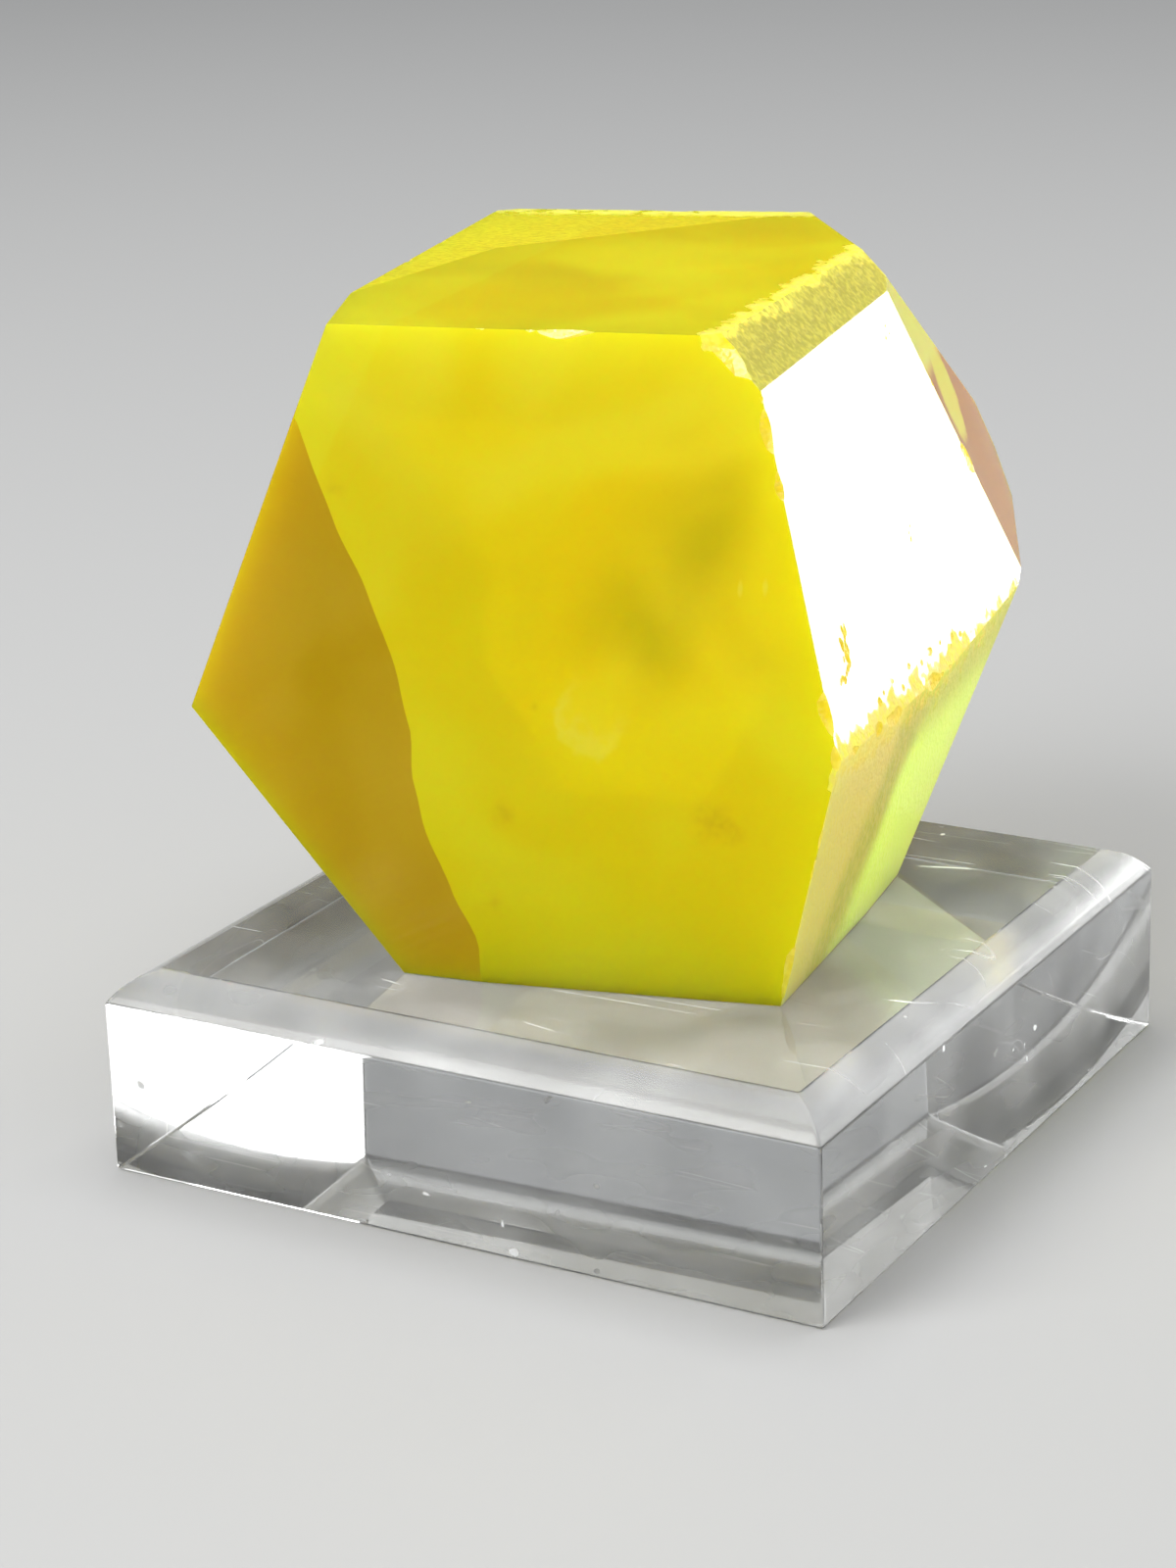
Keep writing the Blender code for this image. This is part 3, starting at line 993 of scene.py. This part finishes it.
class SPECIMEN_OT_block(bpy.types.Operator):
    """Model the clear display block."""
    bl_idname = "specimen.block"
    bl_label = "Display block"

    def execute(self, context):
        settings = context.scene.display_block
        side = BLOCK_HIGH.x - BLOCK_LOW.x
        body = BLOCK_HIGH.z - settings.bevel_height
        bpy.ops.object.select_all(action="DESELECT")
        bpy.ops.mesh.primitive_cube_add(size=1.0, location=(0.0, 0.0, body / 2.0))
        block = bpy.context.object
        block.name = "display_block_dressed"
        block.scale = (side, side, body)
        settle(block)
        start_edit(block)
        pick_faces(block, lambda face: face.normal.z > 0.9)
        inset_done = 0.0
        height_done = 0.0
        for step in range(1, BEVEL_STEPS + 1):
            t = step / BEVEL_STEPS
            bulge = sin(pi * t)
            inset = settings.bevel_width * t - BEVEL_BULGE[0] * bulge
            height = settings.bevel_height * t + BEVEL_BULGE[1] * bulge
            bpy.ops.mesh.inset(thickness=inset - inset_done, depth=0.0, use_even_offset=True)
            bpy.ops.transform.translate(value=(0.0, 0.0, height - height_done))
            inset_done, height_done = inset, height
        end_edit()
        apply_modifier(block, "BEVEL", "edge round", width=BLOCK_EDGE_ROUND,
                       segments=BLOCK_EDGE_STEPS, limit_method="ANGLE",
                       angle_limit=BLOCK_EDGE_MIN_ANGLE)
        only(block)
        bpy.ops.object.shade_smooth_by_angle(angle=BLOCK_SMOOTH_ANGLE)
        block.data.materials.clear()
        block.data.materials.append(acrylic_material(settings))
        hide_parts(BLOCK_NODE)
        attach(block, "root")
        return {"FINISHED"}


class SPECIMEN_OT_studio(bpy.types.Operator):
    """Set up the floor, the lights, the world and the camera."""
    bl_idname = "specimen.studio"
    bl_label = "Studio"

    def execute(self, context):
        settings = context.scene.specimen_studio
        add_floor(settings)
        add_lights(settings)
        add_dome(context.scene, settings)
        add_camera(context.scene)
        context.scene.view_settings.view_transform = "Standard"
        return {"FINISHED"}


def add_floor(settings):
    """A plain pale plane."""
    bpy.ops.object.select_all(action="DESELECT")
    bpy.ops.mesh.primitive_plane_add(size=FLOOR_SIZE, location=(0.0, 0.0, -FLOOR_GAP))
    floor = bpy.context.object
    floor.name = "floor"
    n = Nodes("pale_floor")
    material = n.finish({"Base Color": settings.floor_colour, "Roughness": FLOOR_ROUGHNESS})
    floor.data.materials.append(material)


def soft_light(name, where, power, target=CRYSTAL_CENTRE):
    """An area light that faces a target."""
    place, width, height = where
    data = bpy.data.lights.new(name, "AREA")
    data.shape = "RECTANGLE"
    data.size = width
    data.size_y = height
    data.energy = power
    light = bpy.data.objects.new(name, data)
    light.location = place
    light.rotation_euler = (target - Vector(place)).to_track_quat("-Z", "Y").to_euler()
    light.visible_camera = False
    bpy.context.scene.collection.objects.link(light)
    return light


def add_lights(settings):
    """The soft lights. Two of them reach the specimen alone, and leave the floor even."""
    soft_light("window", WINDOW, settings.window_power)
    side = soft_light("side", SIDE_LIGHT, settings.side_power)
    soft_light("overhead", OVERHEAD, settings.overhead_power)
    soft_light("fill", FILL, settings.fill_power)
    glare = soft_light("glare panel", GLARE_PANEL, settings.glare_power, GLARE_TARGET)
    lit = bpy.data.collections.new("specimen")
    for obj in bpy.data.objects:
        if obj.name.endswith("_dressed"):
            lit.objects.link(obj)
    side.light_linking.receiver_collection = lit
    glare.light_linking.receiver_collection = lit
    # the side light only lights: no face mirrors it and it isn't seen through the block
    side.visible_glossy = False
    side.visible_transmission = False


def add_dome(scene, settings):
    """A world that is soft light from above and dim near the horizon."""
    world = bpy.data.worlds.new("studio")
    world.use_nodes = True
    tree = world.node_tree
    way = tree.nodes.new("ShaderNodeTexCoord").outputs["Generated"]
    height = tree.nodes.new("ShaderNodeSeparateXYZ")
    tree.links.new(way, height.inputs[0])
    glow = tree.nodes.new("ShaderNodeMapRange")
    glow.interpolation_type = "SMOOTHSTEP"
    tree.links.new(height.outputs["Z"], glow.inputs["Value"])
    for key, value in (("From Min", DOME_LOW), ("From Max", DOME_HIGH),
                       ("To Min", settings.horizon_light), ("To Max", settings.dome_light)):
        glow.inputs[key].default_value = value
    background = tree.nodes["Background"]
    background.inputs["Color"].default_value = DOME_COLOUR
    tree.links.new(glow.outputs["Result"], background.inputs["Strength"])
    scene.world = world


def add_camera(scene):
    """The camera: its axes are built from azimuth, elevation and roll."""
    back = Vector((sin(CAMERA_AZIMUTH) * cos(CAMERA_ELEVATION),
                   -cos(CAMERA_AZIMUTH) * cos(CAMERA_ELEVATION), sin(CAMERA_ELEVATION)))
    right = UP.cross(back).normalized()
    up = back.cross(right)
    turned_right = right * cos(CAMERA_ROLL) + up * sin(CAMERA_ROLL)
    turned_up = up * cos(CAMERA_ROLL) - right * sin(CAMERA_ROLL)
    data = bpy.data.cameras.new("camera")
    data.sensor_width = CAMERA_SENSOR
    data.lens = CAMERA_LENS
    data.clip_start = CAMERA_NEAR
    camera = bpy.data.objects.new("camera", data)
    turn = Matrix((turned_right, turned_up, back)).transposed().to_4x4()
    camera.matrix_world = Matrix.Translation(CAMERA_PLACE) @ turn
    scene.collection.objects.link(camera)
    scene.camera = camera


class SPECIMEN_PT_panel(bpy.types.Panel):
    """Lists the builders and their settings."""
    bl_label = "Sulfur crystal"
    bl_idname = "SPECIMEN_PT_panel"
    bl_space_type = "VIEW_3D"
    bl_region_type = "UI"
    bl_category = "Sulfur crystal"

    def draw(self, context):
        groups = (("sulfur_crystal", SPECIMEN_OT_crystal), ("display_block", SPECIMEN_OT_block),
                  ("specimen_studio", SPECIMEN_OT_studio))
        for group, operator in groups:
            box = self.layout.box()
            settings = getattr(context.scene, group)
            for key in settings.__annotations__:
                box.prop(settings, key)
            box.operator(operator.bl_idname)


CLASSES = (CrystalSettings, BlockSettings, StudioSettings, SPECIMEN_OT_crystal, SPECIMEN_OT_block,
           SPECIMEN_OT_studio, SPECIMEN_PT_panel)


def register():
    """Register the classes and hang the settings on the scene."""
    for cls in CLASSES:
        bpy.utils.register_class(cls)
    bpy.types.Scene.sulfur_crystal = PointerProperty(type=CrystalSettings)
    bpy.types.Scene.display_block = PointerProperty(type=BlockSettings)
    bpy.types.Scene.specimen_studio = PointerProperty(type=StudioSettings)


def unregister():
    """Undo register."""
    del bpy.types.Scene.specimen_studio
    del bpy.types.Scene.display_block
    del bpy.types.Scene.sulfur_crystal
    for cls in reversed(CLASSES):
        bpy.utils.unregister_class(cls)


def main():
    """Build everything."""
    register()
    bpy.ops.specimen.block()
    bpy.ops.specimen.crystal()
    bpy.ops.specimen.studio()


if __name__ == "__main__":
    main()
